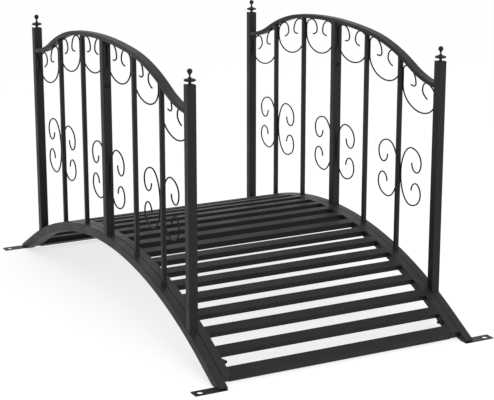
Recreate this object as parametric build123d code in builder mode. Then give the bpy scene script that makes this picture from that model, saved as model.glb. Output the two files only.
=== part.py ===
from build123d import *
import os
from math import asin, atan2, cos, degrees, hypot, pi, radians, sin, sqrt, tan

# Arched steel garden bridge with scrollwork railings. X runs across the deck,
# Y along it and Z up; the origin is on the ground under the middle of the deck.
# All sizes in millimetres.

# Railing layout
railing_spacing = 670.0      # centre line to centre line of the two railings
post_size = 22.0             # square post tube
post_corner = 1.0            # corner bevel of posts and slats
post_top = 667.0             # end post without its cap, above the ground
bar_size = 10.6              # square infill bar, flush with the posts' inner faces
bar_corner = 0.7
bay_clear = 147.9            # clear width of each of the six bays
weld_gap = 0.15              # left between two pieces that are welded together

# Arch of the lower tubes, given by its top face
foot_front = 649.5           # outer edge of the foot plates from mid span
arch_radius = 1163.6
arch_run_out = 95.0          # straight stretch between the bend and that edge, measured level
arch_toe = 6.69              # top face above the ground at that edge
tube_depth = 24.0            # depth of the railing's arch tube, square to the bend
deck_tube_width = 21.9
deck_tube_depth = 20.0
deck_tube_setback = 29.0     # end of the deck tubes from that edge
deck_seam = 0.3              # between the arch tube and the deck tube beside it

# Feet
foot_width = 28.0
foot_reach = 70.8            # plate end from the railing's centre line
foot_thick = 2.0
foot_corner = 1.0
foot_hole_radius = 7.0
foot_hole_reach = 53.6       # hole centre from the railing's centre line

# Deck slats
slats_per_half = 10          # plain slats each side of mid span, then an end tube
slat_width = 26.0
slat_depth = 15.0
end_tube_width = 27.0
end_tube_depth = 22.5

# Top rail: a crown arc, tighter shoulders and a reversed flare into the end posts
rail_crown = 711.3           # top face above the ground at mid span
rail_thick = 10.6
crown_radius = 1571.5
crown_reach = 170.2          # where the crown arc hands over to the shoulder
shoulder_radius = 585.2
flare_radius = 289.5
flare_end_slope = 5.0        # slope left at the post, degrees

# Scrollwork of bent wire
wire_radius = 1.9
wire_sides = 6
turn_steps = 2               # straight steps in the smallest quarter turn
turn_step_reach = 30.0       # a turn gets one more step for each such stretch
wire_inset = 1.5             # wire plane from the railing's centre line, towards the deck

# Hanging scroll, measured on the wire's centre line from the tops of its curls
drop_height = 90.0
drop_curl_place = 41.5       # curl tops from the bay's middle
drop_turn = 21.0             # fall of the outer turn
drop_side = 21.0             # straight stretch down each side
drop_lean = 0.33             # share of the rail's slope that the lower bend takes
drop_inner = 14.8            # inner side of the curl from the bay's middle
drop_inner_fall = 27.0
drop_tip_place = 35.5        # tip of the curl from the bay's middle
drop_tip_fall = 39.7
curl_search = 12             # how far beside a curl top its touching point is looked for

# Back-to-back scrolls, measured on the wire's centre line from the C's back
pair_height = 357.5          # middle of the C above the ground
pair_crest_place = 46.3
pair_crest = 74.3            # top of the C from its middle
pair_reach = 89.8
pair_reach_height = 41.0
pair_curl_place = 69.3
pair_curl_height = 14.2
pair_tip_place = 48.8
pair_tip_height = 35.0

# Finials
cap_thick = 1.5
cap_bevel = 0.6
finial_sides = 10
foot_radius = 4.5
neck_radius = 2.5
neck_height = 4.5
saucer_radius = 14.0
saucer_foot_radius = 5.0
saucer_low = 8.0
saucer_edge_low = 10.5
saucer_edge_high = 12.0
saucer_top_radius = 4.0
saucer_high = 15.0
stem_radius = 2.0
stem_height = 20.0
ball_radius = 6.3
ball_height = 31.2
ball_bands = 5

# Values that follow
half_spacing = railing_spacing / 2
half_post = post_size / 2
bar_inset = half_post - bar_size / 2
inner_bar = half_post + bay_clear + bar_size / 2
outer_bar = inner_bar + bay_clear + bar_size
rail_end = outer_bar + bar_size / 2 + bay_clear
end_post = rail_end + half_post
bay_middles = [(first + last) / 2 for first, last in (
    (half_post, inner_bar - bar_size / 2),
    (inner_bar + bar_size / 2, outer_bar - bar_size / 2),
    (outer_bar + bar_size / 2, rail_end),
)]
arch_bend_end = foot_front - arch_run_out
bend_angle = asin(arch_bend_end / arch_radius)
bend_centre = arch_toe + arch_run_out * tan(bend_angle) - arch_radius * cos(bend_angle)
deck_tube_outside = half_spacing - half_post - deck_seam
deck_inside = deck_tube_outside - deck_tube_width
deck_tube_reach = foot_front - deck_tube_setback
end_tube_place = deck_tube_reach - end_tube_width / 2 * cos(bend_angle)
slat_pitch = end_tube_place / (slats_per_half + 0.5)
wire_offset = wire_radius + weld_gap
drop_side_place = bay_clear / 2 - wire_offset
hands = {"left": -1, "right": 1}
ends = {"front": -1, "back": 1}

os.makedirs("parts", exist_ok=True)


def finish(part, name):
    """Label a finished piece and write it under its own name."""
    part.label = name
    export_step(part, f"parts/{name}.step")


def arch_slope(y):
    """Angle of the arch at y, positive where it falls towards +Y."""
    turn = asin(min(abs(y), arch_bend_end) / arch_radius)
    return turn if y > 0 else -turn


def arch_height(y, depth=0.0):
    """Height at y of the line that lies depth below the arch's top face."""
    radius = arch_radius - depth
    turn_end = radius * sin(bend_angle)
    bend = min(abs(y), turn_end)
    return bend_centre + sqrt(radius**2 - bend**2) - (abs(y) - bend) * tan(bend_angle)


def front(point):
    """The same point on the front half of the bridge."""
    return -point[0], point[1]


def arch_band(depth, end_corners):
    """Side view of an arched tube whose back end has the given corners, top one first."""
    radius = arch_radius - depth
    top_turn = (arch_bend_end, arch_height(arch_bend_end))
    low_turn = (radius * sin(bend_angle), bend_centre + radius * cos(bend_angle))
    edge = [top_turn, *end_corners, low_turn]
    ThreePointArc(front(top_turn), (0, arch_height(0)), top_turn)
    Polyline(*edge)
    ThreePointArc(low_turn, (0, arch_height(0, depth)), front(low_turn))
    Polyline(*[front(point) for point in reversed(edge)])


def rail_arcs():
    """Centre, signed radius and two end angles of each arc of the rail's top face."""
    crown_angle = asin(crown_reach / crown_radius)
    end_angle = radians(flare_end_slope)
    crown_centre = rail_crown - crown_radius
    shoulder_y = (crown_radius - shoulder_radius) * sin(crown_angle)
    shoulder_z = crown_centre + (crown_radius - shoulder_radius) * cos(crown_angle)
    radii = shoulder_radius + flare_radius
    turn = asin((rail_end + flare_radius * sin(end_angle) - shoulder_y) / radii)
    flare_y = shoulder_y + radii * sin(turn)
    flare_z = shoulder_z + radii * cos(turn)
    return [
        (0.0, crown_centre, crown_radius, 0.0, crown_angle),
        (shoulder_y, shoulder_z, shoulder_radius, crown_angle, turn),
        (flare_y, flare_z, -flare_radius, turn, end_angle),
    ]


def rail_height(y, drop):
    """Height at y of the line that lies drop below the rail's top face."""
    y = abs(y)
    for centre_y, centre_z, radius, _, last in rail_arcs():
        reach = radius - drop
        if y <= centre_y + reach * sin(last):
            break
    return centre_z + reach * sqrt(1 - ((y - centre_y) / reach) ** 2)


def rail_edge(drop):
    """The line drop below the rail's top face, from front to back."""
    arcs = []
    for centre_y, centre_z, radius, first, last in rail_arcs():
        reach = radius - drop
        angles = (first, (first + last) / 2, last)
        arcs.append([(centre_y + reach * sin(a), centre_z + reach * cos(a)) for a in angles])
    (*_, crown_end), *rest = arcs
    for points in reversed(rest):
        ThreePointArc(*[front(point) for point in reversed(points)])
    ThreePointArc(front(crown_end), (0, rail_crown - drop), crown_end)
    for points in rest:
        ThreePointArc(*points)
    return arcs[-1][-1]


def side_plane(x):
    """Plane of a side view at x, drawn with Y to the right and Z up."""
    return Plane(origin=(x, 0, 0), x_dir=(0, 1, 0), z_dir=(1, 0, 0))


def arch_tube(hand):
    """Lower tube of one railing, sawn off level on its two foot plates."""
    sole = foot_thick + weld_gap
    run_out = arch_height(foot_front, tube_depth)
    tip = foot_front - (sole - run_out) / tan(bend_angle)
    end = [(foot_front, arch_height(foot_front)), (foot_front, sole), (tip, sole)]
    with BuildPart() as tube:
        with BuildSketch(side_plane(hands[hand] * half_spacing)):
            with BuildLine():
                arch_band(tube_depth, end)
            make_face()
        extrude(amount=half_post, both=True)
    finish(tube.part, f"{hand}_arch_tube")


def deck_side(hand):
    """Tube under one edge of the deck, its ends sawn off square."""
    slope = bend_angle
    top_end = (deck_tube_reach, arch_height(deck_tube_reach))
    low_end = (top_end[0] - deck_tube_depth * sin(slope), top_end[1] - deck_tube_depth * cos(slope))
    middle = deck_tube_outside - deck_tube_width / 2
    with BuildPart() as tube:
        with BuildSketch(side_plane(hands[hand] * middle)):
            with BuildLine():
                arch_band(deck_tube_depth, [top_end, low_end])
            make_face()
        extrude(amount=deck_tube_width / 2, both=True)
    finish(tube.part, f"{hand}_deck_side")


def cross_tubes(name, places, width, depth):
    """Rounded tubes laid across the deck at the given places, flush with the arch."""
    with BuildPart() as tubes:
        for place in places:
            slope = arch_slope(place)
            plane = Plane(
                origin=(0, place, arch_height(place)),
                x_dir=(0, cos(slope), -sin(slope)),
                z_dir=(1, 0, 0),
            )
            with BuildSketch(plane):
                with Locations((0, -depth / 2)):
                    tube = Rectangle(width, depth)
                chamfer(tube.vertices(), post_corner)
            extrude(amount=deck_inside - weld_gap, both=True)
    finish(tubes.part, name)


def upright(place, x, size, top):
    """Sharp-edged upright standing on the arch; top gives its upper height at a place."""
    edges = (place - size / 2, place + size / 2)
    foot = [(y, arch_height(y) + weld_gap) for y in edges]
    head = [(y, top(y)) for y in reversed(edges)]
    with BuildSketch(side_plane(x)) as side:
        with BuildLine():
            Polyline(*foot, *head, close=True)
        make_face()
    extrude(side.sketch, amount=size / 2, both=True)


def under_rail(y):
    """Height at y of an upright that is welded under the top rail."""
    return rail_height(y, rail_thick) - weld_gap


def end_top(y):
    """Height of an end post, which stands free above the rail."""
    return post_top


def post(hand, name, place, top):
    """One square post on the railing's centre line."""
    with BuildPart() as tube:
        upright(place, hands[hand] * half_spacing, post_size, top)
        chamfer(tube.edges().filter_by(Axis.Z), post_corner)
    finish(tube.part, f"{hand}_{name}_post")


def infill_bars(hand):
    """The four thin bars of one railing, set in to the posts' deck faces."""
    with BuildPart() as bars:
        for place in (-outer_bar, -inner_bar, inner_bar, outer_bar):
            upright(place, hands[hand] * (half_spacing - bar_inset), bar_size, under_rail)
        chamfer(bars.edges().filter_by(Axis.Z), bar_corner)
    finish(bars.part, f"{hand}_infill_bars")


def top_rail(hand):
    """Curved rail between the end posts, over the middle post and the bars."""
    with BuildPart() as rail:
        with BuildSketch(side_plane(hands[hand] * half_spacing)):
            with BuildLine():
                top_end = rail_edge(0)
                low_end = rail_edge(rail_thick)
                Line(top_end, low_end)
                Line(front(top_end), front(low_end))
            make_face()
            with Locations((0, post_top)):
                Rectangle(2 * (rail_end - weld_gap), 4 * post_top, mode=Mode.INTERSECT)
        extrude(amount=half_post, both=True)
    finish(rail.part, f"{hand}_top_rail")


def foot_plates(hand):
    """The two plates under one railing, each with its bolt hole outside the tube."""
    side = hands[hand]
    length = foot_reach + half_post
    centre = side * (half_spacing + (foot_reach - half_post) / 2)
    with BuildPart() as plates:
        for end in ends.values():
            y = end * (foot_front - foot_width / 2)
            with BuildSketch():
                with Locations((centre, y)):
                    plate = Rectangle(length, foot_width)
                chamfer(plate.vertices(), foot_corner)
                with Locations((side * (half_spacing + foot_hole_reach), y)):
                    Circle(foot_hole_radius, mode=Mode.SUBTRACT)
            extrude(amount=foot_thick)
    finish(plates.part, f"{hand}_feet")


def curl_fall(place):
    """Fall of a hanging scroll's curl below its top, at a place beside the bay's middle."""
    beside = abs(place) - drop_curl_place
    reach, fall = drop_curl_place - drop_inner, drop_inner_fall
    if beside > 0:
        reach, fall = drop_side_place - drop_curl_place, drop_turn
    return fall * (1 - sqrt(1 - (beside / reach) ** 2))


def hanging_line(middle):
    """Slope and middle height of the line on which a bay's two curl tops lie."""
    seat = rail_thick + wire_offset
    tops = [rail_height(middle + side * drop_curl_place, seat) for side in (-1, 1)]
    slope = (tops[1] - tops[0]) / (2 * drop_curl_place)
    rooms = []
    for side in (-1, 1):
        places = [side * (drop_curl_place + step) for step in range(-curl_search, curl_search + 1)]
        rooms.append(min(rail_height(middle + p, seat) - slope * p + curl_fall(p) for p in places))
    slope += (rooms[1] - rooms[0]) / (2 * drop_curl_place)
    return slope, sum(rooms) / 2


def quarter_turns(points):
    """Straight steps along quarter ellipses through points of place, height, heading and lean.

    The lean of a point is how far its height is sheared up for each unit of its place.
    """
    y, z, _, lean = points[0]
    line = [(y, z + lean * y)]
    for (y, z, heading, lean), (next_y, next_z, _, next_lean) in zip(points, points[1:]):
        across, up = next_y - y, next_z - z
        steps = turn_steps + round(hypot(across, up) / turn_step_reach) if across else 1
        for step in range(1, steps + 1):
            turn = pi / 2 * step / steps
            early, late = sin(turn), 1 - cos(turn)
            if heading == "up":
                early, late = late, early
            place = y + across * early
            shear = lean + (next_lean - lean) * step / steps
            line.append((place, z + up * late + shear * place))
    return line


def bent_wire(x, middle, height, points):
    """Wire along quarter turns, its place counted from middle and its height from height."""
    with BuildLine(side_plane(x)) as path:
        Polyline(*[(middle + y, height + z) for y, z in quarter_turns(points)])
    wire = path.wire()
    with BuildSketch(Plane(origin=wire @ 0, x_dir=(1, 0, 0), z_dir=wire % 0)) as section:
        RegularPolygon(wire_radius, wire_sides, major_radius=False)
    sweep(section.sketch, path=wire, transition=Transition.RIGHT)


def hanging_scroll(hand, name, middle):
    """Wire loop under the rail in one bay, its curls sheared to follow the rail's slope."""
    slope, height = hanging_line(middle)
    low_lean = drop_lean * slope
    half = [
        (0, -drop_height, "level", low_lean),
        (drop_side_place, -drop_turn - drop_side, "up", low_lean),
        (drop_side_place, -drop_turn, "up", slope),
        (drop_curl_place, 0, "level", slope),
        (drop_inner, -drop_inner_fall, "up", slope),
        (drop_tip_place, -drop_tip_fall, "level", slope),
    ]
    loop = [(-y, *rest) for y, *rest in reversed(half[1:])] + half
    with BuildPart() as scroll:
        bent_wire(hands[hand] * (half_spacing - wire_inset), middle, height, loop)
    finish(scroll.part, f"{hand}_{name}_hanging_scroll")


def scroll_pair(hand, name, member, half_member):
    """Two C-shaped wires welded back to back on the sides of an upright."""
    half = [
        (0, 0, "up", 0),
        (pair_crest_place, pair_crest, "level", 0),
        (pair_reach, pair_reach_height, "up", 0),
        (pair_curl_place, pair_curl_height, "level", 0),
        (pair_tip_place, pair_tip_height, "up", 0),
    ]
    letter = [(y, -z, *rest) for y, z, *rest in reversed(half[1:])] + half
    with BuildPart() as pair:
        for side in (-1, 1):
            points = [(side * y, *rest) for y, *rest in letter]
            back = member + side * (half_member + wire_offset)
            bent_wire(hands[hand] * (half_spacing - wire_inset), back, pair_height, points)
    finish(pair.part, f"{hand}_{name}_scroll_pair")


def finial(hand, end):
    """Square cap with a turned saucer and ball, on an end post."""
    x, y = hands[hand] * half_spacing, ends[end] * end_post
    base = post_top + weld_gap
    turned = [
        (foot_radius, 0.0),
        (foot_radius, cap_thick),
        (neck_radius, neck_height),
        (saucer_foot_radius, saucer_low),
        (saucer_radius, saucer_edge_low),
        (saucer_radius, saucer_edge_high),
        (saucer_top_radius, saucer_high),
        (stem_radius, stem_height),
    ]
    lowest = asin(stem_radius / ball_radius)
    for band in range(ball_bands + 1):
        angle = lowest + (pi - 1.5 * lowest) * band / ball_bands
        turned.append((ball_radius * sin(angle), ball_height - ball_radius * cos(angle)))
    with BuildPart() as ornament:
        with BuildSketch(Plane.XY.offset(base)):
            with Locations((x, y)):
                Rectangle(post_size, post_size)
        extrude(amount=cap_thick)
        chamfer(ornament.edges().group_by(Axis.Z)[-1], cap_bevel)
        for (radius, height), (next_radius, next_height) in zip(turned, turned[1:]):
            rise = next_height - height
            closing = (radius - next_radius) * cos(pi / finial_sides)
            with BuildSketch(Plane.XY.offset(base + height)):
                with Locations((x, y)):
                    RegularPolygon(radius, finial_sides)
            extrude(amount=rise, taper=degrees(atan2(closing, rise)))
    finish(ornament.part, f"{hand}_{end}_finial")


slat_places = [side * slat_pitch * (step + 0.5) for step in range(slats_per_half) for side in (-1, 1)]
cross_tubes("deck_slats", slat_places, slat_width, slat_depth)
cross_tubes("deck_end_tubes", [-end_tube_place, end_tube_place], end_tube_width, end_tube_depth)

for hand in hands:
    foot_plates(hand)
    arch_tube(hand)
    deck_side(hand)
    infill_bars(hand)
    top_rail(hand)
    post(hand, "middle", 0.0, under_rail)
    scroll_pair(hand, "middle", 0.0, half_post)
    for end, way in ends.items():
        post(hand, end, way * end_post, end_top)
        finial(hand, end)
        scroll_pair(hand, end, way * outer_bar, bar_size / 2)
        for bay, middle in zip(("inner", "middle", "outer"), bay_middles):
            hanging_scroll(hand, f"{end}_{bay}", way * middle)
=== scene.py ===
"""Looks of a small arched garden bridge of black powder-coated steel tube.

All sizes in the classes are millimetres in the bridge's own frame: X across the
deck, Y along it, Z up from the ground. Meshes are written in metres.
"""

import logging
from dataclasses import dataclass, field
from enum import Enum, IntEnum
from math import asin, cos, pi, radians, sin, sqrt, tan

import bpy
import numpy as np
from mathutils import Matrix, Vector


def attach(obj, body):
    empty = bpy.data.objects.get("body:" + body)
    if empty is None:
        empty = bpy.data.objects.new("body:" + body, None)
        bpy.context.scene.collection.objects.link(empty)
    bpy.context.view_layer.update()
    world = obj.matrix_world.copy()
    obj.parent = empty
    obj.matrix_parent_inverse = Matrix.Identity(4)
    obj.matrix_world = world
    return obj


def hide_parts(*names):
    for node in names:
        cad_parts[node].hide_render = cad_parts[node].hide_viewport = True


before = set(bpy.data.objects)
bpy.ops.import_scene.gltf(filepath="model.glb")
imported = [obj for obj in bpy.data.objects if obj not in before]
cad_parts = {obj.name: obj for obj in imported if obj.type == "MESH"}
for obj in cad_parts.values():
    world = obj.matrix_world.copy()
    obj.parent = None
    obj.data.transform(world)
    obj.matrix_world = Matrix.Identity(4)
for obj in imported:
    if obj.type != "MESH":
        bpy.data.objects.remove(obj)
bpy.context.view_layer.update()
LOG = logging.getLogger("garden_bridge")
Array, Tree, Socket = np.ndarray, bpy.types.NodeTree, bpy.types.NodeSocket
Pair, Triple = tuple[float, float], tuple[float, float, float]
MM = 0.001
METRE = 1000.0
PHOTO_WIDTH = 494
X_AXIS = np.array([1.0, 0.0, 0.0])

# Sizes that several sub-assemblies share.
RAILING_CENTRE = 335.0
POST_SIZE = 22.0
RAIL_THICK = 10.6
WELD_GAP = 0.15

# Steps and shares of the surfaces.
CORNER_STEPS = 5
CORNER_REST = 0.12  # share of a corner's radius by which the flat beside it is kept flat
DOME_TURNS = (72, 50, 25)  # degrees, from a rod's tip to its full radius
BEAD_SIDES = 8
RIPPLE, RIPPLE_STEP, RIPPLE_NOISE = 0.12, 2.4, 0.08  # shares of a bead's radius, and radians
BEAD_SEED_STEP = 7  # between one cross tube's beads and the next one's


class Named(Enum):
    """Option whose name is part of the names of nodes and pieces."""

    @property
    def word(self) -> str:
        """Name of the option as the nodes use it."""
        return self.name.lower()


class Hand(Named):
    """The two railings, by their side of the deck."""

    LEFT = -1
    RIGHT = 1


class End(Named):
    """The two ends of the deck."""

    FRONT = -1
    BACK = 1


class Bay(Named):
    """The three bays between a middle post and an end post, counted outwards."""

    INNER = 0
    MIDDLE = 1
    OUTER = 2


class Seed(IntEnum):
    """First seed of the ripple in each kind of weld bead."""

    MIDDLE_FOOT = 11
    MIDDLE_HEAD = 12
    BAR_FOOT = 20
    BAR_HEAD = 30
    POST_FOOT = 40
    RAIL_END = 50
    SLAT = 100
    END_TUBE = 400
    CURL = 700
    LOOP_SIDE = 900
    BACK = 1200


# --- shader nodes


def linear(colour: str) -> tuple[float, float, float, float]:
    """Linear red, green, blue and an alpha of 1, from an sRGB hex colour after a hash sign."""
    raw = np.array([*bytes.fromhex(colour[1:])]) / 255
    return (*np.where(raw <= 0.04045, raw / 12.92, ((raw + 0.055) / 1.055) ** 2.4).tolist(), 1.0)


def node(tree: Tree, kind: str, links: dict | None = None, **settings: object) -> bpy.types.Node:
    """Add one shader node with its settings and incoming links.

    Args:
        tree: Node tree that gets the node.
        kind: Blender's identifier of the node without its leading ShaderNode.
        links: Input name or number to the output socket that feeds it.
        settings: Attributes of the node, or input values as in_NUMBER or in_Name.

    Returns:
        The new node.
    """
    made = tree.nodes.new("ShaderNode" + kind)
    for key, value in settings.items():
        if key.startswith("in_"):
            spot = int(key[3:]) if key[3:].isdigit() else key[3:].replace("_", " ")
            made.inputs[spot].default_value = value
        else:
            setattr(made, key, value)
    for spot, source in (links or {}).items():
        tree.links.new(source, made.inputs[spot])
    return made


def emptied(made: bpy.types.Material | bpy.types.World) -> Tree:
    """Switch a new material or world to nodes and clear its tree.

    Args:
        made: The material or world.

    Returns:
        Its empty tree.
    """
    made.use_nodes = True
    made.node_tree.nodes.clear()
    return made.node_tree


def noise(tree: Tree, place: Socket, size_mm: float, detail: float, rough: float = 0.5) -> Socket:
    """Noise pattern of a real size, with the number and the strength of its finer layers."""
    sizes = {"in_Scale": METRE / size_mm, "in_Detail": detail, "in_Roughness": rough}
    return node(tree, "TexNoise", {"Vector": place}, **sizes).outputs["Fac"]


def ranged(tree: Tree, source: Socket, span: Pair, low: float, high: float) -> Socket:
    """Value that runs from low to high while its source runs through a span, and stays inside."""
    ends = {"in_1": span[0], "in_2": span[1], "in_3": low, "in_4": high}
    return node(tree, "MapRange", {"Value": source}, **ends).outputs[0]


def joined(tree: Tree, way: str, first: Socket, second: Socket) -> Socket:
    """Sum (ADD) or product (MULTIPLY) of two values, cut off at 0 and 1."""
    return node(tree, "Math", {0: first, 1: second}, operation=way, use_clamp=True).outputs[0]


def bumped(tree: Tree, height: Socket, strength: float, height_mm: float) -> Socket:
    """Normal of a surface that a pattern raises by up to the given height."""
    sizes = {"in_Strength": strength, "in_Distance": height_mm * MM}
    return node(tree, "Bump", {"Height": height}, **sizes).outputs[0]


# --- finishes


@dataclass(frozen=True)
class PowderCoat:
    """Polyester powder coat baked on steel.

    The powder melts into a closed satin film with a fine orange-peel swell, so
    the eye gets a soft broad sheen and no sharp reflection. Dust settles on
    faces that look up, and the film's gloss drifts slowly from place to place.
    Each span holds the pattern values, or heights of the normal, at which an
    effect begins and is full.
    """

    title: str
    colour: str
    dust_colour: str = "#6b6a66"
    roughness: float = 0.50
    roughness_drift: float = 0.07
    specular: float = 0.24
    peel_mm: float = 3.2  # the real swell is about 1.5 mm wide, drawn wider so that it shows
    peel_height_mm: float = 0.035
    peel_strength: float = 0.7
    drift_mm: float = 70.0
    drift_span: Pair = (0.3, 0.7)
    dust: float = 0.10
    upward_span: Pair = (0.55, 0.98)
    speck_mm: float = 11.0
    speck_span: Pair = (0.32, 0.72)
    speck_least: float = 0.35
    scuff: float = 0.0
    scuff_mm: Pair = (160.0, 7.0)
    scuff_span: Pair = (0.58, 0.78)

    def material(self) -> bpy.types.Material:
        """Build the coat's node tree on Object coordinates.

        Returns:
            The finished material.
        """
        made = bpy.data.materials.new(self.title)
        tree = emptied(made)
        place = node(tree, "TexCoord").outputs["Object"]

        peel = noise(tree, place, self.peel_mm, 2.0)
        bump = bumped(tree, peel, self.peel_strength, self.peel_height_mm)
        drift = noise(tree, place, self.drift_mm, 4.0, 0.6)
        low, high = self.roughness - self.roughness_drift, self.roughness + self.roughness_drift
        gloss = ranged(tree, drift, self.drift_span, low, high)

        facing = node(tree, "SeparateXYZ", {0: node(tree, "NewGeometry").outputs["Normal"]})
        upward = ranged(tree, facing.outputs["Z"], self.upward_span, 0.0, self.dust)
        speck = noise(tree, place, self.speck_mm, 5.0, 0.65)
        patch = ranged(tree, speck, self.speck_span, self.speck_least, 1.0)
        dusty = joined(tree, "MULTIPLY", upward, patch)

        along, across = (METRE / size for size in self.scuff_mm)
        stretched = node(tree, "Mapping", {"Vector": place}, in_Scale=(along, across, across))
        scratch = noise(tree, stretched.outputs[0], METRE, 4.0, 0.7)  # its sizes are in the mapping
        pale = joined(tree, "ADD", dusty, ranged(tree, scratch, self.scuff_span, 0.0, self.scuff))
        colours = {"in_6": linear(self.colour), "in_7": linear(self.dust_colour)}
        paint = node(tree, "Mix", {0: pale}, data_type="RGBA", **colours)

        links = {"Base Color": paint.outputs[2], "Roughness": gloss, "Normal": bump}
        sheen = {"in_Specular_IOR_Level": self.specular, "in_IOR": 1.5}
        shader = node(tree, "BsdfPrincipled", links, **sheen)
        node(tree, "OutputMaterial", {"Surface": shader.outputs[0]})
        return made


@dataclass(frozen=True)
class PaintedRecessShade:
    """Painted shade of the recess round a screw head, drawn as a raised near-black ring: dull and
    nearly without sheen.
    """

    title: str = "black_rubber_ring"
    # near-black colour: painted shade of the recess round the screw head
    colour: str = "#070707"
    roughness: float = 0.85
    specular: float = 0.08
    grain_mm: float = 1.5
    grain_height_mm: float = 0.02
    grain_strength: float = 0.3

    def material(self) -> bpy.types.Material:
        """Build the painted shade's node tree on Object coordinates.

        Returns:
            The finished material.
        """
        made = bpy.data.materials.new(self.title)
        tree = emptied(made)
        grain = noise(tree, node(tree, "TexCoord").outputs["Object"], self.grain_mm, 2.0)
        shader = node(
            tree,
            "BsdfPrincipled",
            {"Normal": bumped(tree, grain, self.grain_strength, self.grain_height_mm)},
            in_Base_Color=linear(self.colour),
            in_Roughness=self.roughness,
            in_Specular_IOR_Level=self.specular,
        )
        node(tree, "OutputMaterial", {"Surface": shader.outputs[0]})
        return made


class Coat(Enum):
    """The finishes, by the parts that wear them."""

    FRAME = PowderCoat("black_powder_coat_on_tube", "#151616")
    DECK = PowderCoat("black_powder_coat_on_slats", "#151616", dust=0.06, scuff=0.03, specular=0.19)
    WIRE = PowderCoat("black_powder_coat_on_wire", "#0a0a0b", peel_mm=2.0, dust=0.02, specular=0.16)
    CAST = PowderCoat("black_powder_coat_on_castings", "#101111", peel_mm=2.4, dust=0.03)
    PLATE = PowderCoat("black_powder_coat_on_plate", "#161717", dust=0.14, scuff=0.04)
    WELD = PowderCoat("black_powder_coat_on_welds", "#111212", peel_mm=1.6, roughness=0.56)
    # painted shade: a near-black ring where the post has a shaded recess round the screw head
    RECESS_SHADE = PaintedRecessShade()


# --- surfaces


@dataclass
class Shell:
    """One closed surface: points in millimetres and faces of four or three corners."""

    points: Array
    quads: Array
    triangles: Array

    def volume(self) -> float:
        """Sum of the tetrahedra to the origin: positive where the faces look outwards."""
        split = np.vstack([self.quads[:, :3], self.quads[:, [0, 2, 3]], self.triangles])
        return float(np.linalg.det(self.points[split]).sum() / 6)

    def outward(self) -> "Shell":
        """The same shell with every face looking outwards."""
        flip = slice(None, None, 1 if self.volume() >= 0 else -1)
        return Shell(self.points, self.quads[:, flip], self.triangles[:, flip])


def skin(rings: Array, loop: bool = False) -> Shell:
    """Skin rings that lie one after the other.

    Corner (i, j) is joined to (i, j+1), (i+1, j+1) and (i+1, j), with j running
    round the ring. In a loop the last ring is joined to the first. Otherwise
    each end is closed by a fan from the mean of its ring.

    Args:
        rings: Points by ring, by place on the ring, by coordinate.
        loop: Whether the rings themselves run round in a loop.

    Returns:
        A closed shell with its faces outwards.
    """
    total, around = rings.shape[0] * rings.shape[1], rings.shape[1]
    points = rings.reshape(-1, 3)
    index = np.arange(total).reshape(-1, around)
    ahead = np.roll(index, -1, axis=1)
    corners = [index, ahead, np.roll(ahead, -1, axis=0), np.roll(index, -1, axis=0)]
    quads = np.stack(corners, axis=-1)
    if loop:
        return Shell(points, quads.reshape(-1, 4), np.zeros((0, 3), int)).outward()
    first = np.stack([np.full(around, total), ahead[0], index[0]], axis=-1)
    last = np.stack([np.full(around, total + 1), index[-1], ahead[-1]], axis=-1)
    points = np.vstack([points, rings[0].mean(0), rings[-1].mean(0)])
    return Shell(points, quads[:-1].reshape(-1, 4), np.vstack([first, last])).outward()


def unit(rows: Array) -> Array:
    """Rows drawn to the length 1."""
    return rows / np.linalg.norm(rows, axis=1)[:, None]


def circle(sides: int, start: float = 0.0) -> Array:
    """Cosine and sine at even steps of a full turn, from a start angle in radians."""
    angle = start + np.linspace(0, 2 * pi, sides, endpoint=False)
    return np.stack([np.cos(angle), np.sin(angle)], axis=-1)


def lifted(flat: Array, height: Array) -> Array:
    """Rings of two coordinates with a height as the third, one by ring or one by point."""
    return np.concatenate([flat, np.broadcast_to(height, flat.shape[:2])[..., None]], axis=-1)


def xyz(x: Array | float, y: Array | float, z: Array | float) -> Array:
    """Points from their coordinates, each one value or a row of them."""
    return np.stack(np.broadcast_arrays(x, y, z), axis=-1)


def rounded_rectangle(width: float, depth: float, radius: float) -> Array:
    """Outline of a rectangle whose corners are quarter circles.

    A point on a corner is the corner's centre plus radius times (cos a, sin a),
    with a running through a quarter turn. A further point on each side, close
    beside the corner, keeps the flat's shading flat.

    Args:
        width: Size along the first axis.
        depth: Size along the second axis.
        radius: Corner radius.

    Returns:
        Points by first and second axis, anticlockwise.
    """
    beside = CORNER_REST * radius
    corners = []
    for turn, (sx, sy) in enumerate(((1, 1), (-1, 1), (-1, -1), (1, -1))):
        angle = pi / 2 * (turn + np.linspace(0, 1, CORNER_STEPS + 1))
        arc = np.stack([np.cos(angle), np.sin(angle)], axis=-1) * radius
        centre = np.array([sx * (width / 2 - radius), sy * (depth / 2 - radius)])
        before = arc[0] + np.array([sin(angle[0]), -cos(angle[0])]) * beside
        after = arc[-1] + np.array([-sin(angle[-1]), cos(angle[-1])]) * beside
        corners.append(centre + np.vstack([before, arc, after]))
    return np.vstack(corners)


def even_outline(width: float, depth: float, radius: float, pitch: float) -> Array:
    """Points at even steps along a rounded rectangle.

    Args:
        width: Size along the first axis.
        depth: Size along the second axis.
        radius: Corner radius.
        pitch: Longest step between points.

    Returns:
        Points by first and second axis.
    """
    outline = rounded_rectangle(width, depth, radius)
    closed = np.vstack([outline, outline[:1]])
    run = np.concatenate([[0], np.cumsum(np.linalg.norm(np.diff(closed, axis=0), axis=1))])
    spots = np.linspace(0, run[-1], int(run[-1] / pitch) + 1)[:-1]
    return np.stack([np.interp(spots, run, closed[:, axis]) for axis in range(2)], axis=-1)


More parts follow.
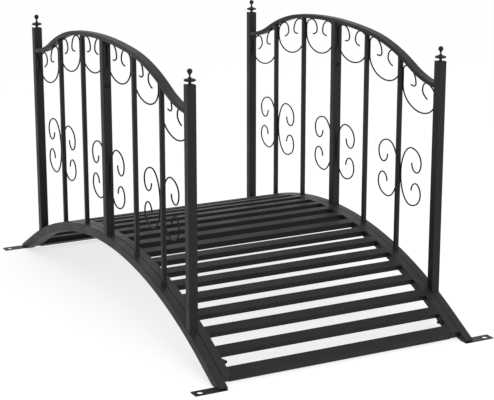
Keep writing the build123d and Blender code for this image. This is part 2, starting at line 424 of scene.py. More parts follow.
def tube_rings(path: Array, up: Array, size: Pair, corner: float, across: Array = X_AXIS) -> Array:
    """Carry a rounded rectangle, half its depth lower, along its top face's path.

    Ring i is path[i] plus the outline's values times across and times up[i].

    Args:
        path: Points of the path.
        up: Direction square to the top face, one or one for each point.
        size: Width across the path and depth below it.
        corner: Corner radius.
        across: Direction of the width.

    Returns:
        Rings for skin.
    """
    outline = rounded_rectangle(*size, corner) - [0, size[1] / 2]
    up = np.broadcast_to(up, path.shape)[:, None]
    return path[:, None] + outline[None, :, :1] * across + outline[None, :, 1:] * up


def round_rings(path: Array, sizes: Array, first: Array, second: Array, sides: int) -> Array:
    """Circles: path[i] plus sizes[i] times (first[i] cos a + second[i] sin a), a all round."""
    flat = circle(sides)[None] * sizes[:, None, None]
    return path[:, None] + flat[..., :1] * first[:, None] + flat[..., 1:] * second[:, None]


def round_rod(path: Array, radius: float, sides: int) -> Shell:
    """Round rod with domed ends along a path that lies in one plane of constant x.

    Each ring is a circle square to the path, between the X axis and the in-plane
    normal. Each dome adds rings whose radius falls as the cosine of a quarter
    turn while they move on by its sine.

    Args:
        path: Points of the rod's middle line.
        radius: Radius of the rod.
        sides: Points in each ring.

    Returns:
        The rod's shell.
    """
    heading = unit(np.gradient(path, axis=0))
    turn = np.radians(DOME_TURNS)
    dome, out = np.cos(turn) * radius, np.sin(turn)[:, None] * radius
    sizes = np.concatenate([dome, np.full(len(path), radius), dome[::-1]])
    path = np.vstack([path[0] - heading[0] * out, path, path[-1] + heading[-1] * out[::-1]])
    heading = np.vstack([heading[[0, 0, 0]], heading, heading[[-1, -1, -1]]])
    side = np.broadcast_to(X_AXIS, path.shape)
    return skin(round_rings(path, sizes, side, np.cross(heading, side), sides))


def turned(profile: Array, centre: Triple, steps: int) -> Shell:
    """Rows of radius and height turned about a centre: (r cos a, r sin a, h) for each a."""
    flat = profile[:, None, :1] * circle(steps)
    return skin(lifted(flat, profile[:, 1:]) + np.array(centre))


def eased(points: Array, rounds: int) -> Array:
    """Round the corners of an open line by cutting each one at its quarters.

    Each round puts 3/4 P + 1/4 Q and 1/4 P + 3/4 Q in place of every stretch PQ
    and keeps both ends.

    Args:
        points: Points of the line.
        rounds: How often the corners are cut.

    Returns:
        The rounded line.
    """
    for _ in range(rounds):
        first, second = points[:-1], points[1:]
        cut = np.stack([0.75 * first + 0.25 * second, 0.25 * first + 0.75 * second], axis=1)
        points = np.vstack([points[:1], cut.reshape(-1, 2), points[-1:]])
    return points


def bead(path: Array, radius: float, closed: bool, seed: int) -> Shell:
    """Weld bead: a thin rod whose width ripples as each drop of metal freezes.

    The radius is the bead's own times 1 plus a sine wave along the bead plus
    seeded noise. The ends of an open bead taper off.

    Args:
        path: Points of the bead's middle line.
        radius: Mean radius.
        closed: Whether the path is a loop.
        seed: Seed of the noise.

    Returns:
        The bead's shell.
    """
    noisy = np.random.default_rng(seed).uniform(-1, 1, len(path))
    along = np.arange(len(path))
    sizes = radius * (1 + RIPPLE * np.sin(along * RIPPLE_STEP) + RIPPLE_NOISE * noisy)
    if closed:
        heading = np.roll(path, -1, axis=0) - np.roll(path, 1, axis=0)
    else:
        heading = np.gradient(path, axis=0)
        sizes *= np.sqrt(np.clip(np.sin(pi * (along + 0.4) / (len(path) - 0.2)), 0.1, 1))
    heading = unit(heading)
    helper = np.where(np.abs(heading[:, 2:]) < 0.9, [[0.0, 0.0, 1.0]], [X_AXIS])
    first = unit(np.cross(heading, helper))
    return skin(round_rings(path, sizes, first, np.cross(heading, first), BEAD_SIDES), closed)


def linked(title: str, data: bpy.types.ID) -> bpy.types.Object:
    """Make an object around its data and link it into the scene.

    Args:
        title: Name of the object.
        data: Its mesh, lamp or camera.

    Returns:
        The new object.
    """
    made = bpy.data.objects.new(title, data)
    bpy.context.scene.collection.objects.link(made)
    return made


@dataclass
class Dresser:
    """Turns shells into finished pieces that ride on the bridge."""

    body: str = "root"
    smooth_below: float = 32.0
    coats: dict[Coat, bpy.types.Material] = field(
        default_factory=lambda: {coat: coat.value.material() for coat in Coat}
    )
    made: list[str] = field(default_factory=list)

    def piece(
        self, title: str, shells: list[Shell], coat: Coat, slot: str, *stands_for: str
    ) -> None:
        """Write shells into one mesh, dress it and tie it to the bridge.

        Args:
            title: Name of the piece.
            shells: Its surfaces, in millimetres.
            coat: Its finish.
            slot: Slot of the record that the finish belongs to; not used.
            stands_for: Nodes that the piece is shown in place of.
        """
        faces: list[list[int]] = []
        start = 0
        for shell in shells:
            faces += (shell.quads + start).tolist() + (shell.triangles + start).tolist()
            start += len(shell.points)
        mesh = bpy.data.meshes.new(title)
        mesh.from_pydata(np.vstack([shell.points for shell in shells]) * MM, [], faces)
        mesh.polygons.foreach_set("use_smooth", np.ones(len(mesh.polygons), bool))
        mesh.set_sharp_from_angle(angle=radians(self.smooth_below))
        mesh.validate()
        mesh.materials.append(self.coats[coat])
        made = linked(title, mesh)
        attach(made, self.body)
        if stands_for:
            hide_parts(*stands_for)
        self.made.append(title)
        LOG.info("%s: %d faces", title, len(mesh.polygons))

    def coat_node(self, title: str, coat: Coat) -> None:
        """Give a carried-over node its coat.

        Args:
            title: Name of the node.
            coat: Its finish.
        """
        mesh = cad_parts[title].data
        mesh.materials.clear()
        mesh.materials.append(self.coats[coat])
        LOG.info("%s: coated", title)


# --- lines of the bridge


@dataclass(frozen=True)
class ArchLine:
    """Top face of the lower tubes: a circle that runs on straight past its bend."""

    reach: float = 649.5
    radius: float = 1163.6
    run_out: float = 95.0
    toe: float = 6.69
    bend_steps: int = 72
    run_steps: int = 11

    @property
    def bend_end(self) -> float:
        """Place from mid span where the bend stops."""
        return self.reach - self.run_out

    @property
    def turn(self) -> float:
        """Angle of the bend on each side of mid span."""
        return asin(self.bend_end / self.radius)

    @property
    def centre(self) -> float:
        """Height of the bend's centre."""
        return self.toe + self.run_out * tan(self.turn) - self.radius * cos(self.turn)

    def height(self, y: Array | float, depth: float = 0.0) -> Array:
        """Height at y of the line that lies depth inside the top face.

        On the bend it is the centre's height plus the square root of R squared
        minus y squared, and past it that falls off along the tangent.

        Args:
            y: Place along the bridge.
            depth: Depth square to the top face.

        Returns:
            The heights.
        """
        radius = self.radius - depth
        reach = np.abs(y)
        bend = np.minimum(reach, radius * sin(self.turn))
        return self.centre + np.sqrt(radius**2 - bend**2) - (reach - bend) * tan(self.turn)

    def slope(self, y: float) -> float:
        """Angle of the top face at y, positive where it falls towards +Y."""
        return float(np.sign(y) * asin(min(abs(y), self.bend_end) / self.radius))

    def seat(self, y: float) -> tuple[Array, Array, Array]:
        """Seat of a tube laid across the deck.

        Args:
            y: Place along the bridge.

        Returns:
            Point of the top face at x = 0, its direction along the bridge and
            the direction square to it.
        """
        slope = self.slope(y)
        along = np.array([0.0, cos(slope), -sin(slope)])
        up = np.array([0.0, sin(slope), cos(slope)])
        return np.array([0.0, y, float(self.height(y))]), along, up

    def stations(self, reach: float, x: float) -> tuple[Array, Array]:
        """Points of the top face in a plane of constant x and the directions square to it.

        Args:
            reach: Place of both ends from mid span.
            x: Place of the plane.

        Returns:
            The points and the unit vectors that look up from them.
        """
        bend = self.radius * np.sin(np.linspace(-self.turn, self.turn, self.bend_steps + 1))
        run = np.linspace(self.bend_end, reach, self.run_steps + 1)[1:]
        y = np.concatenate([-run[::-1], bend, run])
        angle = np.arcsin(np.clip(y, -self.bend_end, self.bend_end) / self.radius)
        return xyz(x, y, self.height(y)), xyz(0.0, np.sin(angle), np.cos(angle))


@dataclass(frozen=True)
class RailLine:
    """Top face of a top rail: a crown arc, two tighter shoulders and two reversed flares."""

    crown: float = 711.3
    crown_radius: float = 1571.5
    crown_reach: float = 170.2
    shoulder_radius: float = 585.2
    flare_radius: float = 289.5
    end: float = 475.9
    end_slope: float = 5.0
    steps: tuple[int, int, int] = (10, 18, 22)

    def arcs(self) -> list[tuple[float, float, float, float, float]]:
        """Work out the tangent arcs of one side.

        Returns:
            Centre, signed radius and two end angles by row, for the crown's
            half, the shoulder and the flare.
        """
        crown_angle = asin(self.crown_reach / self.crown_radius)
        last = radians(self.end_slope)
        low = self.crown - self.crown_radius
        step = self.crown_radius - self.shoulder_radius
        shoulder_y, shoulder_z = step * sin(crown_angle), low + step * cos(crown_angle)
        radii = self.shoulder_radius + self.flare_radius
        turn = asin((self.end + self.flare_radius * sin(last) - shoulder_y) / radii)
        flare = (shoulder_y + radii * sin(turn), shoulder_z + radii * cos(turn))
        return [
            (0.0, low, self.crown_radius, 0.0, crown_angle),
            (shoulder_y, shoulder_z, self.shoulder_radius, crown_angle, turn),
            (*flare, -self.flare_radius, turn, last),
        ]

    def height(self, y: Array | float, drop: float = 0.0) -> Array:
        """Height at y of the line that lies drop below the top face.

        Each arc gives its centre's height plus its reduced radius times the
        cosine of the angle whose sine is the place's distance over that radius.

        Args:
            y: Place along the bridge.
            drop: Distance square to the top face.

        Returns:
            The heights.
        """
        y = np.abs(np.asarray(y, float))
        height = np.zeros_like(y)
        done = np.zeros(y.shape, bool)
        for centre_y, centre_z, radius, _, last in self.arcs():
            reach = radius - drop
            inside = ~done & ((y <= centre_y + reach * sin(last)) | (radius < 0))
            ratio = np.clip((y - centre_y) / reach, -1, 1)
            height = np.where(inside, centre_z + reach * np.sqrt(1 - ratio**2), height)
            done |= inside
        return height

    def stations(self, reach: float, x: float) -> tuple[Array, Array]:
        """Points of the top face in a plane of constant x and the directions square to it.

        Args:
            reach: Place of both ends from mid span.
            x: Place of the plane.

        Returns:
            The points and the unit vectors that look up from them.
        """
        half = []
        for (centre_y, centre_z, radius, first, last), steps in zip(self.arcs(), self.steps):
            angle = np.linspace(first, last, steps + 1)[1:]
            y, z = centre_y + radius * np.sin(angle), centre_z + radius * np.cos(angle)
            half.append(np.stack([y, z, angle], axis=-1))
        rows = np.vstack(half)
        rows[-1, 0] = reach
        rows = np.vstack([rows[::-1] * [-1, 1, -1], [0.0, self.crown, 0.0], rows])
        y, z, angle = rows.T
        return xyz(x, y, z), xyz(0.0, np.sin(angle), np.cos(angle))


ARCH = ArchLine()
RAIL = RailLine()


# --- sub-assemblies


@dataclass
class Deck:
    """Two deck tubes on the arch line, twenty slats between them and a tube across each end."""

    outside: float = 323.7
    side: Pair = (21.9, 20.0)  # width and depth, as below
    side_reach: float = 620.5
    slats_per_half: int = 10
    slat: Pair = (26.0, 15.0)
    end: Pair = (27.0, 22.5)
    corner: float = 1.1
    tube_points: int = 9
    weld_points: int = 10
    weld_radius: float = 1.0
    weld_ends: Pair = (2.2, 1.2)  # from a tube's top and from its underside

    @property
    def wall(self) -> float:
        """Place of the deck tubes' inner faces across the deck."""
        return self.outside - self.side[0]

    @property
    def end_place(self) -> float:
        """Place of an end tube from mid span, its far edge flush with the deck tubes' ends."""
        return self.side_reach - self.end[0] / 2 * cos(ARCH.slope(self.side_reach))

    def slat_places(self) -> list[float]:
        """Places of the slats along the bridge, spread evenly between the end tubes."""
        pitch = self.end_place / (self.slats_per_half + 0.5)
        return [way * pitch * (i + 0.5) for i in range(self.slats_per_half) for way in (-1, 1)]

    def side_tube(self, hand: Hand) -> Shell:
        """Deck tube of one side, carried along the arch with square-sawn ends."""
        path, up = ARCH.stations(self.side_reach, hand.value * (self.outside - self.side[0] / 2))
        return skin(tube_rings(path, up, self.side, self.corner))

    def cross_tube(self, place: float, size: Pair) -> Shell:
        """One tube laid across the deck, its top flush with the arch.

        Args:
            place: Place of its middle along the bridge.
            size: Its width along the deck and its depth.

        Returns:
            The tube's shell.
        """
        point, along, up = ARCH.seat(place)
        half = self.wall + self.corner
        path = point + np.linspace(-half, half, self.tube_points)[:, None] * X_AXIS
        return skin(tube_rings(path, up, size, self.corner, along))

    def welds(self, place: float, size: Pair, seed: int) -> list[Shell]:
        """Short fillet beads down both flanks of a cross tube, where it meets the deck tubes.

        Args:
            place: Place of the cross tube.
            size: Its width along the deck and its depth.
            seed: Seed of the beads' ripple.

        Returns:
            Four beads.
        """
        point, along, up = ARCH.seat(place)
        top, bottom = self.weld_ends
        down = np.linspace(top, size[1] - bottom, self.weld_points)[:, None] * -up
        beads = []
        for hand in Hand:
            for flank in (-1, 1):
                path = point + hand.value * self.wall * X_AXIS + flank * along * size[0] / 2 + down
                beads.append(bead(path, self.weld_radius, False, seed + flank + 3 * hand.value))
        return beads

    def build(self, dresser: Dresser) -> None:
        """Make every piece of the deck.

        Args:
            dresser: Dresses the pieces.
        """
        for hand in Hand:
            title = f"{hand.word}_deck_side"
            dresser.piece(f"{title}_tube", [self.side_tube(hand)], Coat.FRAME, "frame_tubes", title)
        welds: list[Shell] = []
        ends = [-self.end_place, self.end_place]
        for title, cad, places, size, seed in (
            ("deck_slat_tubes", "deck_slats", self.slat_places(), self.slat, Seed.SLAT),
            ("deck_end_tube_pair", "deck_end_tubes", ends, self.end, Seed.END_TUBE),
        ):
            tubes = [self.cross_tube(place, size) for place in places]
            dresser.piece(title, tubes, Coat.DECK, "deck_slats", cad)
            for number, place in enumerate(places):
                welds += self.welds(place, size, seed + BEAD_SEED_STEP * number)
        dresser.piece("deck_weld_beads", welds, Coat.WELD, "frame_tubes")


@dataclass
class Scrollwork:
    """Bent wire of one railing: hanging scrolls under the rail and C scrolls back to back.

    A row of hanging or letter gives one half's turning points from the middle
    out: place, height and whether the wire runs level there. In hanging a last
    value says whether the row takes the low share of the rail's slope.
    """

    inset: float = 1.5
    radius: float = 1.9
    sides: int = 12
    steps: int = 12
    bay_clear: float = 147.9
    low_lean: float = 0.33
    curl_search: float = 12.0
    search_points: int = 25
    tack_points: int = 9
    back_points: int = 15
    hanging: tuple[tuple[float, float, bool, bool], ...] = (
        (0.0, -90.0, True, True),
        (71.9, -42.0, False, True),
        (71.9, -21.0, False, False),
        (41.5, 0.0, True, False),  # top of the curl
        (14.8, -27.0, False, False),
        (35.5, -39.7, True, False),
    )
    letter: tuple[tuple[float, float, bool], ...] = (
        (0.0, 0.0, False),
        (46.3, 74.3, True),
        (89.8, 41.0, False),
        (69.3, 14.2, True),
        (48.8, 35.0, False),
    )
    pair_height: float = 357.5
    # Half length, radius and seat inside the neighbour of each tack weld.
    curl_tack: Triple = (4.5, 1.25, 0.5)
    side_tack: Triple = (5.0, 1.15, 0.4)
    back_tack: Triple = (9.0, 1.2, 0.4)

    def x(self, hand: Hand) -> float:
        """Place of the wire across the deck."""
        return hand.value * (RAILING_CENTRE - self.inset)

    def quarter_turns(self, points: list[tuple[float, float, bool, float]]) -> Array:
        """Fine line along quarter ellipses, sheared upwards by each point's lean.

        From a level point the place grows with sin t and the height with
        1 - cos t, with t through a quarter turn, and from an upright point the
        other way about. The height gains the evenly changing lean times the place.

        Args:
            points: Place, height, whether the wire runs level there, and lean.

        Returns:
            Places and heights by row.
        """
        share = np.linspace(0, 1, self.steps + 1)[1:]
        turn = share * pi / 2
        first_y, first_z, _, first_lean = points[0]
        rows = [np.array([[first_y, first_z + first_lean * first_y]])]
        for (y, z, level, lean), (next_y, next_z, _, next_lean) in zip(points, points[1:]):
            early, late = np.sin(turn), 1 - np.cos(turn)
            if not level:
                early, late = late, early
            if y == next_y:
                early, late = share * 0, share
            place = y + (next_y - y) * early
            shear = lean + (next_lean - lean) * share
            rows.append(np.stack([place, z + (next_z - z) * late + shear * place], axis=-1))
        return np.vstack(rows)

    def hanging_line(self, middle: float) -> Pair:
        """Slope and height at which a scroll's two curl tops touch the rail.

        The curl's own fall beside its top is that of an ellipse. Each curl's
        room is the least distance to the rail's underside over places near it.

        Args:
            middle: Middle of the bay along the bridge.

        Returns:
            The slope, and the height of the curl tops' line at the bay's middle.
        """
        seat = RAIL_THICK + self.radius + WELD_GAP
        side, turn = self.hanging[1][0], self.hanging[2][1]
        top, inner = self.hanging[3][0], self.hanging[4]
        ends = RAIL.height(middle + np.array([-top, top]), seat)
        slope = float(ends[1] - ends[0]) / (2 * top)
        beside = np.linspace(-self.curl_search, self.curl_search, self.search_points)
        reach = np.where(beside > 0, side - top, top - inner[0])
        fall = np.where(beside > 0, -turn, -inner[1])
        drop = fall * (1 - np.sqrt(1 - (beside / reach) ** 2))
        rooms = []
        for way in (-1, 1):
            place = way * (top + beside)
            rooms.append(float((RAIL.height(middle + place, seat) - slope * place + drop).min()))
        return slope + (rooms[1] - rooms[0]) / (2 * top), sum(rooms) / 2

    def hanging_scroll(self, hand: Hand, middle: float) -> tuple[Shell, list[Shell]]:
        """One hanging scroll and its tack welds.

        Args:
            hand: Side of the deck.
            middle: Middle of the bay along the bridge.

        Returns:
            The wire and four small beads.
        """
        x = self.x(hand)
        slope, height = self.hanging_line(middle)
        leans = {True: slope * self.low_lean, False: slope}
        half = [(y, z, level, leans[low]) for y, z, level, low in self.hanging]
        line = self.quarter_turns([(-y, *rest) for y, *rest in reversed(half[1:])] + half)
        path = xyz(x, middle + line[:, 0], height + line[:, 1])
        tacks = []
        for way in (-1, 1):
            reach, radius, sink = self.curl_tack
            along = np.linspace(-reach, reach, self.tack_points)
            place = middle + (way * self.hanging[3][0] + along)
            spot = xyz(x, place, RAIL.height(place, RAIL_THICK) - sink)
            tacks.append(bead(spot, radius, False, int(Seed.CURL + middle + way)))
            reach, radius, sink = self.side_tack
            side = way * (self.bay_clear / 2 - sink)
            straight = (self.hanging[1][1] + self.hanging[2][1]) / 2
            lift = height + straight + slope * (1 + self.low_lean) / 2 * side
            rise = np.linspace(-reach, reach, self.tack_points)
            spot = xyz(x, middle + side, lift + rise)
            tacks.append(bead(spot, radius, False, int(Seed.LOOP_SIDE + middle + way)))
        return round_rod(path, self.radius, self.sides), tacks

    def letter_c(self, hand: Hand, member: float, side: float, way: int) -> tuple[Shell, Shell]:
        """One C of a back-to-back pair and the bead on its back.

        Args:
            hand: Side of the deck.
            member: Place of the upright that carries it.
            side: Half the upright's width.
            way: Which way along the bridge the C opens.

        Returns:
            The wire and its bead.
        """
        half = [(y, z, level, 0.0) for y, z, level in self.letter]
        line = self.quarter_turns([(y, -z, *rest) for y, z, *rest in reversed(half[1:])] + half)
        back = member + way * (side + self.radius + WELD_GAP)
        path = xyz(self.x(hand), back + way * line[:, 0], self.pair_height + line[:, 1])
        reach, radius, sink = self.back_tack
        rise = self.pair_height + np.linspace(-reach, reach, self.back_points)
        spot = xyz(self.x(hand), member + way * (side + sink), rise)
        wire = round_rod(path, self.radius, self.sides)
        return wire, bead(spot, radius, False, int(Seed.BACK + member + way))


@dataclass
class Finial:
    """Square cap, waisted neck, saucer, stem and ball on an end post."""

    size: float = POST_SIZE
    base: float = 667.15
    cap_thick: float = 1.5
    cap_bevel: float = 0.5
    cap_rim: float = 6.0
    corner: float = 1.2
    steps: int = 48
    rounds: int = 2
    bevel_points: int = 5
    ball_points: int = 18
    body: tuple[Pair, ...] = (
        (4.6, 1.3), (4.5, 1.9), (3.5, 3.2), (3.1, 4.6), (3.3, 6.0), (4.4, 7.7),  # neck
        (10.2, 8.2), (13.4, 9.6), (14.0, 11.1), (13.7, 12.5), (11.6, 13.8), (7.6, 14.7),  # saucer
        (4.8, 15.7), (2.9, 17.8), (2.0, 20.4), (1.9, 22.2), (2.7, 24.4),  # stem
    )
    ball_radius: float = 6.3
    ball_height: float = 31.2
    drop_angle: float = 0.82  # below this angle the ball draws out into its stem
    tip_angle: float = 0.06

    def cap(self, x: float, y: float) -> Shell:
        """Pressed square cap with a rolled upper edge.

        Each ring is the rounded square drawn in by the edge's quarter circle.

        Args:
            x: Place across the deck.
            y: Place along it.

        Returns:
            The cap's shell.
        """
        turn = np.linspace(0, pi / 2, self.bevel_points)
        inset = np.concatenate([[0.0], self.cap_bevel * (1 - np.cos(turn)), [self.cap_rim]])
        low = self.cap_thick - self.cap_bevel
        height = np.concatenate([[0.0], low + self.cap_bevel * np.sin(turn), [self.cap_thick]])
        scale = 1 - inset[:, None, None] / (self.size / 2)
        flat = rounded_rectangle(self.size, self.size, self.corner)[None] * scale
        return skin(lifted(flat, height[:, None]) + np.array([x, y, self.base]))

    def ornament(self, x: float, y: float) -> Shell:
        """Neck, saucer, stem and ball as one turned shell.

        Args:
            x: Place across the deck.
            y: Place along it.

        Returns:
            The turned shell.
        """
        angle = np.linspace(self.drop_angle, pi - self.tip_angle, self.ball_points)
        height = self.ball_height - self.ball_radius * np.cos(angle)
        ball = np.stack([self.ball_radius * np.sin(angle), height], axis=-1)
        profile = np.vstack([eased(np.array(self.body), self.rounds), ball])
        return turned(profile, (x, y, self.base), self.steps)


@dataclass
class Railing:
    """One railing: arch tube on its feet, posts, bars, top rail, scrollwork and finials."""

    hand: Hand
    scrolls: Scrollwork = field(default_factory=Scrollwork)
    finial: Finial = field(default_factory=Finial)
    post: float = POST_SIZE
    bar: float = 10.6
    bar_inset: float = 5.7
    end_place: float = 486.9
    inner_bar: float = 164.2
    outer_bar: float = 322.7
    post_top: float = 667.0
    tube_depth: float = 24.0
    foot_front: float = 649.5
    sole: float = 2.15
    tube_corner: float = 2.0
    bar_corner: float = 1.1
    rail_corner: float = 1.8
    bay_middles: Triple = (84.95, 243.45, 401.95)
    upright_points: int = 7
    bead_corner: float = 1.5
    seat_pitch: float = 2.2
    seat_sink: float = 0.25
    rail_end_pitch: float = 2.0
    rail_end_sink: float = 0.3
    post_bead: float = 1.3
    bar_bead: float = 1.1
    rail_bead: float = 1.0
    foot_draw: float = 0.6
    head_draw: float = 2.4

    @property
    def x(self) -> float:
        """Place of the railing's centre line across the deck."""
        return self.hand.value * RAILING_CENTRE

    @property
    def rail_end(self) -> float:
        """Place from mid span where the top rail meets the end post's face."""
        return self.end_place - self.post / 2

    def arch_tube(self) -> Shell:
        """Arch tube, sawn off level on its foot plates.

        The outline is carried along the arch, and every point that would fall
        below the sole is lifted straight up to it.

        Returns:
            The tube's shell.
        """
        path, up = ARCH.stations(self.foot_front, self.x)
        rings = tube_rings(path, up, (self.post, self.tube_depth), self.tube_corner)
        rings[..., 2] = np.maximum(rings[..., 2], self.sole)
        return skin(rings)

    def top_rail(self) -> Shell:
        """Flat top rail, its ends cut upright beside the end posts.

        Returns:
            The rail's shell.
        """
        limit = self.rail_end - WELD_GAP
        path, up = RAIL.stations(limit, self.x)
        rings = tube_rings(path, up, (self.post, RAIL_THICK), self.rail_corner)
        rings[..., 1] = np.clip(rings[..., 1], -limit, limit)
        return skin(rings)

    def upright(
        self, place: float, x: float, size: float, corner: float, top: float | None = None
    ) -> Shell:
        """Square upright, its foot cut to the arch and its head level or cut to the rail.

        Args:
            place: Place along the bridge.
            x: Place across the deck.
            size: Width of the square.
            corner: Corner radius.
            top: Height of a level head, or nothing for a head under the rail.

        Returns:
            The upright's shell.
        """
        flat = rounded_rectangle(size, size, corner) + [x, place]
        foot = ARCH.height(flat[:, 1]) + WELD_GAP
        head = RAIL.height(flat[:, 1], RAIL_THICK) - WELD_GAP
        if top is not None:
            head = np.full(len(flat), top)
        share = np.linspace(0, 1, self.upright_points)[:, None]
        height = foot * (1 - share) + head * share
        return skin(lifted(np.broadcast_to(flat, (*height.shape, 2)), height))

    def seat_bead(
        self, place: float, x: float, size: float, radius: float, seed: int, head: bool = False
    ) -> Shell:
        """Bead round an upright, on the arch or under the rail.

        Args:
            place: Place along the bridge.
            x: Place across the deck.
            size: Width of the upright.
            radius: Radius of the bead.
            seed: Seed of its ripple.
            head: Whether it is the bead under the rail.

        Returns:
            The bead's shell.
        """
        outline = even_outline(size, size, self.bead_corner, self.seat_pitch)
        y = outline[:, 1] + place
        z = ARCH.height(y) + self.seat_sink
        if head:
            z = RAIL.height(y, RAIL_THICK) - self.seat_sink
        return bead(xyz(outline[:, 0] + x, y, z), radius, True, seed)

    def rail_end_bead(self, end: End) -> Shell:
        """Bead round a rail's end, on the end post's face.

        Args:
            end: End of the bridge.

        Returns:
            The bead's shell.
        """
        corner = self.bead_corner
        line = even_outline(self.post - corner, RAIL_THICK, corner, self.rail_end_pitch)
        middle = float(RAIL.height(self.rail_end)) - RAIL_THICK / 2
        y = end.value * (self.rail_end - self.rail_end_sink)
        path = xyz(line[:, 0] + self.x, y, line[:, 1] + middle)
        return bead(path, self.rail_bead, True, Seed.RAIL_END + end.value)

    def build(self, dresser: Dresser) -> None:
        """Make every piece of the railing.

        Args:
            dresser: Dresses the pieces.
        """
        word, x = self.hand.word, self.x
        bar_x = self.hand.value * (RAILING_CENTRE - self.bar_inset)
        places = (-self.outer_bar, -self.inner_bar, self.inner_bar, self.outer_bar)
        middle = self.upright(0.0, x, self.post, self.tube_corner)
        bars = [self.upright(y, bar_x, self.bar, self.bar_corner) for y in places]
        for title, shells, cad in (
            ("arch", [self.arch_tube()], "arch_tube"),
            ("hand_rail", [self.top_rail()], "top_rail"),
            ("middle_tube", [middle], "middle_post"),
            ("bars", bars, "infill_bars"),
        ):
            dresser.piece(f"{word}_{title}", shells, Coat.FRAME, "frame_tubes", f"{word}_{cad}")

        foot, head = self.post - self.foot_draw, self.post - self.head_draw
        welds = [
            self.seat_bead(0.0, x, foot, self.post_bead, Seed.MIDDLE_FOOT),
            self.seat_bead(0.0, x, head, self.rail_bead, Seed.MIDDLE_HEAD, True),
        ]
        for number, y in enumerate(places):
            for first, radius, under_rail in (
                (Seed.BAR_FOOT, self.bar_bead, False),
                (Seed.BAR_HEAD, self.rail_bead, True),
            ):
                seed = first + number
                welds.append(self.seat_bead(y, bar_x, self.bar, radius, seed, under_rail))
        for end in End:
            name, y = f"{word}_{end.word}", end.value * self.end_place
            tube = self.upright(y, x, self.post, self.tube_corner, self.post_top)
            dresser.piece(f"{name}_tube", [tube], Coat.FRAME, "frame_tubes", f"{name}_post")
            shells = [self.finial.cap(x, y), self.finial.ornament(x, y)]
            dresser.piece(f"{name}_ball", shells, Coat.CAST, "finials", f"{name}_finial")
            welds.append(self.seat_bead(y, x, foot, self.post_bead, Seed.POST_FOOT + end.value))
            welds.append(self.rail_end_bead(end))
            for bay, bay_middle in zip(Bay, self.bay_middles):
                wire, tacks = self.scrolls.hanging_scroll(self.hand, end.value * bay_middle)
                title = f"{name}_{bay.word}_hanging"
                dresser.piece(f"{title}_wire", [wire], Coat.WIRE, "scroll_wire", f"{title}_scroll")
                welds += tacks
        for title, member, size in (
            ("front", -self.outer_bar, self.bar),
            ("middle", 0.0, self.post),
            ("back", self.outer_bar, self.bar),
        ):
            name = f"{word}_{title}"
            pair = [self.scrolls.letter_c(self.hand, member, size / 2, way) for way in (-1, 1)]
            wires, tacks = map(list, zip(*pair))
            cad = f"{name}_scroll_pair"
            dresser.piece(f"{name}_wire_pair", wires, Coat.WIRE, "scroll_wire", cad)
            welds += tacks
        dresser.piece(f"{word}_weld_beads", welds, Coat.WELD, "frame_tubes")
        dresser.coat_node(f"{word}_feet", Coat.PLATE)


@dataclass
class DeckBolts:
    """Bolts that hold the deck tubes to the arch tubes near each end, their nuts under the deck."""

    place: float = 574.0
    depth: float = 9.0
    shank: float = 4.0
    nut_across: float = 13.0
    nut_thick: float = 6.0
    nut_turn: float = 15.0
    end_proud: float = 5.5
    inner_face: float = 301.75
    root_share: float = 0.93  # of the shank's radius, in the thread's grooves
    tip_shares: Pair = (0.85, 0.6)
    thread_points: int = 25
    thread_sides: int = 20
    nut_rings: tuple[Pair, ...] = ((0.0, 1.0), (0.8, 1.0), (1.0, 0.86), (1.0, 0.55))

    @staticmethod
    def along_x(x: Array, radii: Array, y: float, z: float, corners: Array) -> Shell:
        """Bar along X: ring i is radii[i] times the corners about (y, z) in the plane at x[i]."""
        flat = corners[None] * radii[:, None, None] + [y, z]
        return skin(lifted(flat, x[:, None])[..., [2, 0, 1]])

    def build(self, dresser: Dresser) -> None:
        """Make the bolts: a chamfered nut on each deck tube's inner face and the thread's end.

        Args:
            dresser: Dresses the pieces.
        """
        lift, share = np.array(self.nut_rings).T
        nut, hexagon = self.nut_across / sqrt(3) * share, circle(6, radians(self.nut_turn))
        round_shape = circle(self.thread_sides)
        thread = self.shank * np.where(np.arange(self.thread_points) % 2, self.root_share, 1.0)
        thread[-2:] = self.shank * np.array(self.tip_shares)
        reach = np.linspace(self.nut_thick - 1, self.nut_thick + self.end_proud, len(thread))
        shells = []
        for hand in Hand:
            for end in End:
                y, way = end.value * self.place, hand.value
                z = float(ARCH.height(y, self.depth))
                seat = way * self.inner_face
                nut_x = seat - way * lift * self.nut_thick
                shells.append(self.along_x(nut_x, nut, y, z, hexagon))
                shells.append(self.along_x(seat - way * reach, thread, y, z, round_shape))
        dresser.piece("deck_bolts", shells, Coat.FRAME, "frame_tubes")


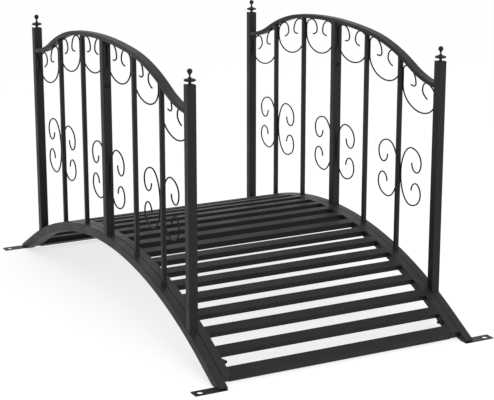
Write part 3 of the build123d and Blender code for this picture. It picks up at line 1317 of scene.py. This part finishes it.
@dataclass
class PostPlug:
    """Round screw head on the front face of a middle post, in a near-black ring that is painted
    shade of the recess round it.
    """

    face: float = POST_SIZE / 2
    height: float = 587.5
    steps: int = 32
    # ring: profile of the near-black ring that paints the recess's shade round the head
    ring: tuple[Pair, ...] = ((6.0, 0.0), (6.0, 0.7), (5.5, 1.2), (4.7, 1.0), (4.0, 0.2))
    head: tuple[Pair, ...] = ((3.9, 0.0), (3.9, 0.9), (3.0, 1.5), (1.2, 1.8))

    def facing_front(self, profile: tuple[Pair, ...], x: float) -> Shell:
        """Turned shape laid over so that its axis points to the bridge's front.

        A point (a, b, c) of the upright shape moves to (a, -c, b).

        Args:
            profile: Radius and height by row.
            x: Place across the deck.

        Returns:
            The shell on the post's face.
        """
        shell = turned(np.array(profile), (0.0, 0.0, 0.0), self.steps)
        laid = shell.points[:, [0, 2, 1]] * [1, -1, 1] + [x, -self.face, self.height]
        return Shell(laid, shell.quads, shell.triangles).outward()

    def build(self, dresser: Dresser) -> None:
        """Make the painted-shade rings and the heads of both middle posts.

        Args:
            dresser: Dresses the pieces.
        """
        for title, profile, coat in (
            ("post_painted_shade_rings", self.ring, Coat.RECESS_SHADE),
            ("post_screw_heads", self.head, Coat.CAST),
        ):
            shells = [self.facing_front(profile, hand.value * RAILING_CENTRE) for hand in Hand]
            dresser.piece(title, shells, coat, "frame_tubes")


# --- studio


@dataclass(frozen=True)
class Softbox:
    """Square soft lamp that looks at the bridge, in metres and watts."""

    title: str
    place: Triple
    power: float
    size: float = 2.4
    aim: Triple = (0.0, 0.0, 0.3)

    def build(self) -> None:
        """Add the lamp and turn it to its aim."""
        data = bpy.data.lights.new(self.title, "AREA")
        data.shape, data.size, data.energy = "SQUARE", self.size, self.power
        look = (Vector(self.aim) - Vector(self.place)).to_track_quat("-Z", "Y")
        turned_to = Matrix.Translation(self.place) @ look.to_matrix().to_4x4()
        linked(self.title, data).matrix_world = turned_to


@dataclass
class Studio:
    """Camera at the photograph's place, soft lamps and a plain white floor."""

    eye: Triple = (-1775.9, -3499.9, 1284.8)
    yaw: float = 0.484
    pitch: float = 0.258
    focal_px: float = 1528.88
    sensor_mm: float = 36.0
    view_end_m: float = 100.0
    sky: float = 0.62
    floor_half_m: float = 12.0
    floor_paint: float = 0.45
    floor_glow: float = 0.70
    lamps: tuple[Softbox, ...] = (
        Softbox("key_softbox", (-0.7, -3.8, 2.9), 64.0),
        Softbox("fill_softbox", (1.8, -3.4, 1.6), 24.0),
    )

    def camera(self) -> None:
        """Place the camera and make it the scene's own."""
        data = bpy.data.cameras.new("photo_camera")
        data.sensor_width = self.sensor_mm
        data.sensor_fit = "HORIZONTAL"
        data.lens = self.focal_px / PHOTO_WIDTH * self.sensor_mm
        data.clip_end = self.view_end_m
        made = linked("photo_camera", data)
        made.location = Vector(self.eye) * MM
        made.rotation_euler = (pi / 2 - self.pitch, 0.0, -self.yaw)
        bpy.context.scene.camera = made

    def seen_white(self, tree: Tree) -> Socket:
        """Value that is 1 for rays that show the background itself.

        Args:
            tree: Node tree that gets the nodes.

        Returns:
            Sum of the camera, glossy and transmission ray flags, cut off at 1.
        """
        path = node(tree, "LightPath").outputs
        both = joined(tree, "ADD", path["Is Camera Ray"], path["Is Glossy Ray"])
        return joined(tree, "ADD", both, path["Is Transmission Ray"])

    def world(self) -> None:
        """White surroundings whose light on the bridge is softer than their look."""
        made = bpy.data.worlds.new("white_room")
        tree = emptied(made)
        strength = ranged(tree, self.seen_white(tree), (0.0, 1.0), self.sky, 1.0)
        white = node(tree, "Background", {"Strength": strength}, in_Color=(1, 1, 1, 1))
        node(tree, "OutputWorld", {"Surface": white.outputs[0]})
        bpy.context.scene.world = made

    def floor(self) -> None:
        """Plain pale floor that keeps the bridge's shadow."""
        half = self.floor_half_m
        mesh = bpy.data.meshes.new("studio_floor")
        corners = [(-half, -half, 0), (half, -half, 0), (half, half, 0), (-half, half, 0)]
        mesh.from_pydata(corners, [], [(0, 1, 2, 3)])
        made = linked("studio_floor", mesh)
        coat = bpy.data.materials.new("white_floor_paint")
        tree = emptied(coat)
        matt = node(tree, "BsdfDiffuse", in_Color=(*[self.floor_paint] * 3, 1.0))
        dim = ranged(tree, self.seen_white(tree), (0.0, 1.0), 0.0, self.floor_glow)
        glow = node(tree, "Emission", {"Strength": dim}, in_Color=(1, 1, 1, 1))
        both = node(tree, "AddShader", {0: matt.outputs[0], 1: glow.outputs[0]})
        node(tree, "OutputMaterial", {"Surface": both.outputs[0]})
        mesh.materials.append(coat)

    def build(self) -> None:
        """Set the whole studio."""
        self.camera()
        self.world()
        self.floor()
        for lamp in self.lamps:
            lamp.build()
        bpy.context.scene.view_settings.view_transform = "Standard"


def main() -> None:
    """Build the studio and the bridge."""
    logging.basicConfig(level=logging.INFO, format="%(name)s %(message)s")
    Studio().build()
    dresser = Dresser()
    Deck().build(dresser)
    for hand in Hand:
        Railing(hand).build(dresser)
    DeckBolts().build(dresser)
    PostPlug().build(dresser)
    LOG.info("%d pieces made", len(dresser.made))


if __name__ == "__main__":
    main()
